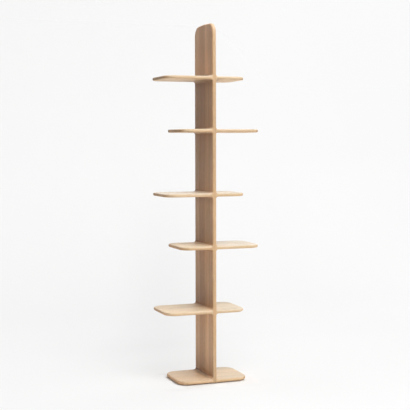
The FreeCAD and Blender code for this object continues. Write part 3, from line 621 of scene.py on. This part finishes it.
def threaded_insert(node):
    """A brass threaded insert: coarse wood thread outside, hexagon drive at the mouth, machine thread inside."""
    lo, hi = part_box(node)
    cx, cz = (lo.x + hi.x) / 2, (lo.z + hi.z) / 2
    r, y0, y1 = (hi.x - lo.x) / 2, lo.y, hi.y
    length = y1 - y0
    n = 96

    def ridge(a, y, pitch):
        t = ((y / pitch) - a / (2 * math.pi)) % 1.0
        return 1.0 - abs(2.0 * t - 1.0)

    def hexagon(a, across):
        return across / 2 / math.cos((a % (math.pi / 3)) - math.pi / 6)

    rings = []
    steps = 80
    for i in range(steps + 1):                              # outside, front to back
        y = length * i / steps
        room = min(1.0, y / 0.0012, (length - y) / 0.0008)
        ring = []
        for j in range(n):
            a = 2 * math.pi * j / n
            rr = r - 0.0004 - 0.00062 * (1 - ridge(a, y, 0.0018)) * room + 0.0004 * room
            ring.append((rr, a, y0 + y))
        rings.append(ring)
    mouth = [(r - 0.0009, length), (r - 0.0011, length - 0.00008)]
    for rr, y in mouth:
        rings.append([(rr, 2 * math.pi * j / n, y0 + y) for j in range(n)])
    for y in (length - 0.0001, length - 0.0004, length - 0.0022, length - 0.0024):      # hexagon drive
        rings.append([(min(hexagon(2 * math.pi * j / n, 0.0032), r - 0.0012), 2 * math.pi * j / n, y0 + y) for j in range(n)])
    depth = length - 0.0026
    for i in range(61):                                     # inner thread, back to front
        y = depth * (1 - i / 60)
        room = min(1.0, y / 0.0006, (depth - y) / 0.0004)
        ring = []
        for j in range(n):
            a = 2 * math.pi * j / n
            ring.append((0.00145 + 0.00026 * ridge(a, y, 0.0007) * room, a, y0 + y))
        rings.append(ring)
    rings.append([(r - 0.0008, 2 * math.pi * j / n, y0) for j in range(n)])
    rings = [[(cx + rr * math.cos(a), y, cz + rr * math.sin(a)) for rr, a, y in ring] for ring in rings]
    return solid(node + "_turned", rings, brass_mat, node)


for i, n in enumerate(sorted(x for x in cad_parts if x.startswith("floor_pad"))):
    felt_disc(n, 70 + i)
threaded_insert("tether_insert")


# ------------------------------------------------------------------ stage: floor running up into a backdrop
STAGE_DIFFUSE = 0.80
STAGE_EVEN = 0.70
WALL_Y, WALL_RAD, WALL_TOP = 2.4, 1.3, 3.4
WALL_L, STAGE_L, STAGE_R, STAGE_FRONT = -1.35, -3.4, 4.0, -6.0


def backdrop():
    bm = bmesh.new()
    prof = [(STAGE_FRONT + (WALL_Y - WALL_RAD - STAGE_FRONT) * i / 12.0, 0.0) for i in range(12)]
    for i in range(0, 25):
        a = math.pi / 2 * i / 24
        prof.append((WALL_Y - WALL_RAD + WALL_RAD * math.sin(a), WALL_RAD - WALL_RAD * math.cos(a)))
    prof += [(WALL_Y, WALL_RAD + (WALL_TOP - WALL_RAD) * i / 4.0) for i in range(1, 5)]
    cols = [STAGE_L + (STAGE_R - STAGE_L) * i / 20.0 for i in range(21)]
    rows = [[bm.verts.new((x, y, z)) for (y, z) in prof] for x in cols]
    for a, b in zip(rows[:-1], rows[1:]):
        for i in range(len(prof) - 1):
            bm.faces.new((a[i], b[i], b[i + 1], a[i + 1]))
    me = bpy.data.meshes.new("backdrop")
    bm.to_mesh(me)
    bm.free()
    o = bpy.data.objects.new("backdrop", me)
    bpy.context.scene.collection.objects.link(o)
    for p in me.polygons:
        p.use_smooth = True
    m, k = fresh("backdrop_white")
    out = k.n.new("ShaderNodeOutputMaterial")
    dif = k.n.new("ShaderNodeBsdfDiffuse")
    dif.inputs["Color"].default_value = (STAGE_DIFFUSE,) * 3 + (1,)
    geo = k.n.new("ShaderNodeNewGeometry")
    x, y, z = k.xyz(geo.outputs["Position"])
    # seen straight on, the paper is evened out a little, but not beside the base, where its shadow lies
    dx = k.math("MAXIMUM", k.sub(k.math("ABSOLUTE", x), 0.20), 0.0)
    dy = k.math("MAXIMUM", k.sub(k.math("ABSOLUTE", y), 0.14), 0.0)
    near = k.math("SQRT", k.add(k.mul(dx, dx), k.mul(dy, dy)))
    ray = k.n.new("ShaderNodeLightPath")
    # off the foot's left end, rounded corners and all, painted light takes away most of the contact shadow
    cx = k.math("MAXIMUM", k.sub(k.math("ABSOLUTE", x), 0.139), 0.0)
    cy = k.math("MAXIMUM", k.sub(k.math("ABSOLUTE", y), 0.0775), 0.0)
    rim = k.sub(k.math("SQRT", k.add(k.mul(cx, cx), k.mul(cy, cy))), 0.066)
    end = k.mul(k.remap(rim, 0.001, 0.016, 0.0, 0.90), k.remap(x, -0.17, -0.20))
    end = k.mul(end, k.remap(k.math("ABSOLUTE", y), 0.26, 0.15))
    beyond = k.remap(k.math("DIVIDE", near, k.remap(y, 0.02, 0.20, 0.16, 0.075)), 0.0, 1.0)
    # the lamp behind on the right stands close to the paper, so there it is evened out further
    lamp = k.mul(k.remap(x, 0.9, 1.5), k.remap(z, 0.8, 1.3))
    even = k.mul(k.mul(k.math("MAXIMUM", beyond, end), k.mad(lamp, 0.96 - STAGE_EVEN, STAGE_EVEN)), ray.outputs["Is Camera Ray"])
    em = k.n.new("ShaderNodeEmission")
    pale = k.add(k.remap(x, -1.0, 1.2, 0.930, 0.966, False), k.remap(y, 0.2, -1.0, 0.0, 0.018))
    pale = k.add(pale, k.remap(z, 0.15, 1.25, 0.0, 0.030, False))
    pale = k.add(pale, k.mul(k.remap(x, 1.45, 2.60, 0.0, 0.062, False), k.remap(y, 0.6, 2.0)))
    pale = k.add(pale, k.mul(k.remap(x, 0.20, -0.70, 0.0, 0.023, False), k.remap(y, 0.0, 0.8)))
    pale = k.add(pale, k.mul(k.remap(y, 0.2, 0.9, 0.0, 0.018), k.remap(z, 0.15, 0.0)))
    pale = k.sub(pale, k.mul(k.remap(y, 0.5, -0.2, 0.0, 0.012), k.remap(x, 0.0, 0.5)))
    # the object's own soft shade on the paper behind its foot
    dark = k.math("ABSOLUTE", k.sub(x, k.mad(y, 0.36, -0.288)))
    dark = k.mul(k.remap(dark, 0.50, 0.02), k.mul(k.remap(y, 0.50, 1.10), k.remap(z, 1.35, 0.15)))
    k.put(em.inputs["Strength"], k.lerp(lamp, k.mad(dark, -0.058, pale), 0.966))
    add = k.n.new("ShaderNodeMixShader")
    k.put(add.inputs[0], even)
    k.l.new(dif.outputs[0], add.inputs[1])
    k.l.new(em.outputs[0], add.inputs[2])
    clear = k.n.new("ShaderNodeBsdfTransparent")
    # it fades out towards its borders and shows nothing from behind
    low = k.remap(z, 0.03, 0.35, 1.0, 0.0)
    left = k.lerp(low, k.remap(x, WALL_L + 0.02, WALL_L + 0.45), k.remap(x, STAGE_L + 0.02, STAGE_L + 0.8))
    fx = k.mul(left, k.remap(x, STAGE_R - 1.2, STAGE_R - 0.1, 1.0, 0.0))
    ff = k.remap(y, STAGE_FRONT + 0.05, STAGE_FRONT + 1.0, 0.0, 1.0)
    fz = k.remap(z, WALL_TOP - 1.9, WALL_TOP - 0.15, 1.0, 0.0)
    vis = k.mul(k.mul(fx, ff), k.mul(fz, k.sub(1.0, geo.outputs["Backfacing"])))
    mx = k.n.new("ShaderNodeMixShader")
    k.put(mx.inputs[0], vis)
    k.l.new(clear.outputs[0], mx.inputs[1])
    k.l.new(add.outputs[0], mx.inputs[2])
    k.l.new(mx.outputs[0], out.inputs[0])
    me.materials.append(m)
    return o


stage = backdrop()

# ------------------------------------------------------------------ light
SUNS = [
    ("sun_a", -180, 14, 50, 1.393),
    ("sun_b", 0, 42, 50, 1.034),
    ("sun_c", 135, 42, 50, 1.006),
    ("sun_d", 45, 14, 50, 0.617),
    ("sun_e", -135, 42, 50, 0.585),
    ("sun_f", 0, 68, 50, 0.257),
    ("sun_g", -120, 68, 50, 0.209),
    ("sun_h", 45, 42, 50, 0.189),
    ("sun_i", -135, 14, 50, 0.058),
]


def sun(name, azimuth, elevation, size, power):
    """A wide soft source at infinity. Azimuth 0 is in front of the object (-Y), 90 on its right (+X)."""
    l = bpy.data.lights.new(name, "SUN")
    l.angle = math.radians(size)
    l.energy = power
    o = bpy.data.objects.new(name, l)
    bpy.context.scene.collection.objects.link(o)
    a, e = math.radians(azimuth), math.radians(elevation)
    d = Vector((math.sin(a) * math.cos(e), -math.cos(a) * math.cos(e), math.sin(e)))
    o.location = d * 4.0
    o.rotation_euler = d.to_track_quat("Z", "Y").to_euler()
    return o


def softbox(name, place, aim, size, power):
    """A square diffusing panel at a studio's distance."""
    l = bpy.data.lights.new(name, "AREA")
    l.shape = "SQUARE"
    l.size = size
    l.energy = power
    o = bpy.data.objects.new(name, l)
    bpy.context.scene.collection.objects.link(o)
    o.location = place
    o.rotation_euler = (Vector(place) - Vector(aim)).to_track_quat("Z", "Y").to_euler()
    o.visible_camera = False
    return o


BOXES = [
    ("box_fronthigh", (0.0, -1.3, 3.6), (0.0, 0.0, 1.2), 1.4, 31.79),
    ("box_fronttop", (0.0, -2.4, 3.3), (0.0, 0.0, 1.4), 1.6, 27.89),
    ("box_frontrighttop", (1.9, -2.0, 3.0), (0.0, 0.0, 1.4), 1.6, 20.30),
    ("box_rightback", (2.4, 1.6, 2.2), (0.0, 0.0, 1.2), 1.6, 6.29),
    ("bounce_front_right", (0.7, -1.35, 0.004), (0.7, -1.35, 1.0), 1.2, 5.62),
    ("bounce_right", (1.1, -0.1, 0.004), (1.1, -0.1, 1.0), 1.2, 5.45),
    ("bounce_left_near", (-0.75, -0.2, 0.004), (-0.75, -0.2, 1.0), 0.9, 2.01),
    ("bounce_wall_left_high", (-1.9, -0.2, 2.1), (0.0, 0.0, 1.6), 1.0, 0.55),
]
for s in SUNS:
    sun(*s)
for s in BOXES:
    softbox(*s)

world = bpy.data.worlds.new("studio")
world.use_nodes = True
world.node_tree.nodes.clear()
k = Net(world.node_tree)
wout = k.n.new("ShaderNodeOutputWorld")
seen = k.n.new("ShaderNodeBackground")
sky = k.n.new("ShaderNodeTexCoord")
k.put(seen.inputs[0], k.remap(k.vec("DOT_PRODUCT", sky.outputs["Generated"], tuple(right)), -0.20, 0.06, 0.934, 0.965))
fill = k.n.new("ShaderNodeBackground")
fill.inputs[0].default_value = (1, 1, 1, 1)
fill.inputs[1].default_value = 0.000
path = k.n.new("ShaderNodeLightPath")
wmix = k.n.new("ShaderNodeMixShader")
k.l.new(path.outputs["Is Camera Ray"], wmix.inputs[0])
k.l.new(fill.outputs[0], wmix.inputs[1])
k.l.new(seen.outputs[0], wmix.inputs[2])
k.l.new(wmix.outputs[0], wout.inputs[0])
bpy.context.scene.world = world
bpy.context.scene.view_settings.view_transform = "Standard"
